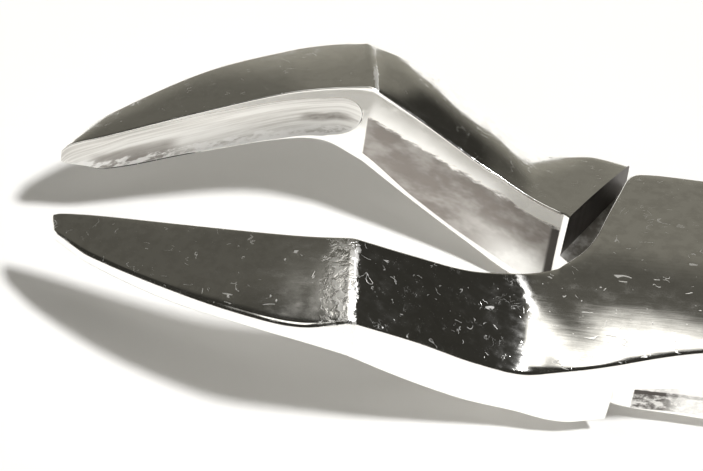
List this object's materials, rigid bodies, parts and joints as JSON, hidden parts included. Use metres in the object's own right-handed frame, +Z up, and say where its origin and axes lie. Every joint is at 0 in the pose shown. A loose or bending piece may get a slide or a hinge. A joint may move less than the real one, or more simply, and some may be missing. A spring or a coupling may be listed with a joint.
{
  "type": "dental extraction forceps",
  "caption": "Straight-handled dental extraction forceps with a lapped screw joint, cranked necks and tapered beaks hollowed on their inner faces.",
  "frame": {"origin": "on the pivot axis, in the plane of the joint's flat lower land, on which the tool lies", "axes": "+Z up along the pivot axis, +X along the tool towards the handles, beaks towards -X, the near half's beak on the -Y side"},
  "size_m": [0.1742, 0.0406, 0.0162],
  "materials": {
    "polished_steel": "polished",
    "screw_steel": "satin"
  },
  "bodies": {
    "far": {"far_half": "polished_steel", "pivot_screw": "screw_steel"},
    "near": {"near_half": "polished_steel"}
  },
  "joints": [
    {"name": "jaw_pivot", "type": "hinge", "parent": "far", "child": "near", "pos_m": [0, 0, 0], "axis": [0, 0, 1], "range_deg": [-7, 35]}
  ]
}
